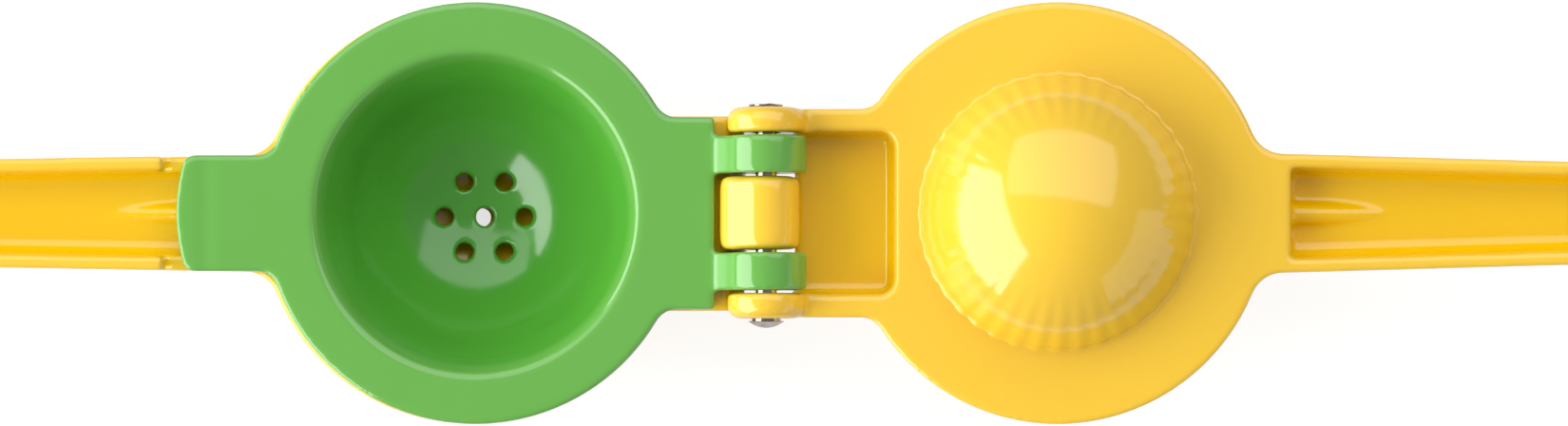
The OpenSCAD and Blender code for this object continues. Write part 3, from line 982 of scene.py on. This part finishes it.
def stage_floor(own_light):
    """A plain white floor that keeps the object's shadow."""
    bpy.ops.mesh.primitive_grid_add(x_subdivisions=8, y_subdivisions=4, size=1.0)
    floor = fresh("floor")
    floor.scale = FLOOR_SCALE
    place(floor)
    material = bpy.data.materials.new("Pale floor")
    material.use_nodes = True
    tree = material.node_tree
    shader = tree.nodes["Principled BSDF"]
    shader.inputs["Base Color"].default_value = (0.40, 0.40, 0.40, 1)
    shader.inputs["Roughness"].default_value = 0.9
    shader.inputs["Emission Color"].default_value = (1, 1, 1, 1)
    path = tree.nodes.new("ShaderNodeLightPath")
    mirrored = math_node(tree, "MULTIPLY", path.outputs["Is Glossy Ray"], FLOOR_IN_GLOSS)
    seen = math_node(tree, "MAXIMUM", path.outputs["Is Camera Ray"], mirrored)
    seen = math_node(tree, "MAXIMUM", seen, path.outputs["Is Transmission Ray"])
    lift = math_node(tree, "MULTIPLY", seen, own_light)
    tree.links.new(lift, shader.inputs["Emission Strength"])
    floor.data.materials.append(material)


def surround(strength, gleam):
    """A dim world, seen as white. Glossy surfaces see a pale ceiling in it."""
    world = bpy.data.worlds.new("Pale surround")
    bpy.context.scene.world = world
    world.use_nodes = True
    tree = world.node_tree
    back = tree.nodes["Background"]
    back.inputs["Color"].default_value = (1, 1, 1, 1)
    path = tree.nodes.new("ShaderNodeLightPath")
    camera, through = path.outputs["Is Camera Ray"], path.outputs["Is Transmission Ray"]
    white = math_node(tree, "MAXIMUM", camera, through)
    way = tree.nodes.new("ShaderNodeTexCoord").outputs["Generated"]
    parts = tree.nodes.new("ShaderNodeSeparateXYZ")
    tree.links.new(way, parts.inputs["Vector"])
    ceiling = ramp(tree, parts.outputs["Z"], CEILING_LOW, CEILING_HIGH)
    ceiling = math_node(tree, "MULTIPLY", ceiling, gleam)
    ceiling = math_node(tree, "MULTIPLY", ceiling, path.outputs["Is Glossy Ray"])
    level = math_node(tree, "MAXIMUM", white, ceiling)
    level = math_node(tree, "MAXIMUM", level, strength)
    tree.links.new(level, back.inputs["Strength"])


class SQUEEZER_OT_stage(bpy.types.Operator):
    """Sets the floor, the light and the camera"""

    bl_idname = "squeezer.stage"
    bl_label = "Stage"

    def execute(self, context):
        settings = context.scene.squeezer_stage
        stage_floor(settings.floor_lift)
        surround(settings.sky, settings.gleam)
        softbox("Key softbox", settings.key, *KEY_PANEL)
        softbox("Top softbox", settings.top, *TOP_PANEL)
        softbox("Fill panel", settings.fill, *FILL_PANEL)
        context.scene.view_settings.view_transform = "Standard"

        bpy.ops.object.camera_add(
            location=(settings.camera_x, settings.camera_y, PRESS_FACE_Z + settings.camera_height)
        )
        camera = context.object
        camera.name = "Camera"
        camera.data.sensor_fit = "HORIZONTAL"
        camera.data.sensor_width = SENSOR_WIDTH
        camera.data.lens = SENSOR_WIDTH * settings.camera_height / settings.view_width
        camera.data.shift_y = -settings.camera_y / settings.view_width
        camera.data.clip_start = 0.01
        context.scene.camera = camera
        return {"FINISHED"}


class SQUEEZER_PT_panel(bpy.types.Panel):
    """Lists the squeezer's pieces and their sizes"""

    bl_idname = "SQUEEZER_PT_panel"
    bl_label = "Squeezer"
    bl_space_type = "VIEW_3D"
    bl_region_type = "UI"
    bl_category = "Squeezer"

    def draw(self, context):
        layout = self.layout
        for operator in OPERATORS:
            layout.operator(operator.bl_idname)
        for name, group in GROUPS.items():
            box = layout.box()
            settings = getattr(context.scene, name)
            for prop in group.__annotations__:
                box.prop(settings, prop)


GROUPS = {
    "squeezer_casting": CastingSettings,
    "squeezer_dome": DomeSettings,
    "squeezer_rivet": RivetSettings,
    "squeezer_coat": CoatSettings,
    "squeezer_stage": StageSettings,
}
OPERATORS = (
    SQUEEZER_OT_lower_arm,
    SQUEEZER_OT_lime_cup,
    SQUEEZER_OT_upper_arm,
    SQUEEZER_OT_hinge_pin,
    SQUEEZER_OT_stage,
)
CLASSES = (*GROUPS.values(), *OPERATORS, SQUEEZER_PT_panel)


def register():
    """Makes the classes and their settings known to Blender."""
    for each in CLASSES:
        bpy.utils.register_class(each)
    for name, group in GROUPS.items():
        setattr(bpy.types.Scene, name, bpy.props.PointerProperty(type=group))


def unregister():
    """Takes the classes and their settings away again."""
    for name in GROUPS:
        delattr(bpy.types.Scene, name)
    for each in reversed(CLASSES):
        bpy.utils.unregister_class(each)


def main():
    """Builds every piece and the stage."""
    register()
    for operator in OPERATORS:
        group, name = operator.bl_idname.split(".")
        getattr(getattr(bpy.ops, group), name)()


if __name__ == "__main__":
    main()
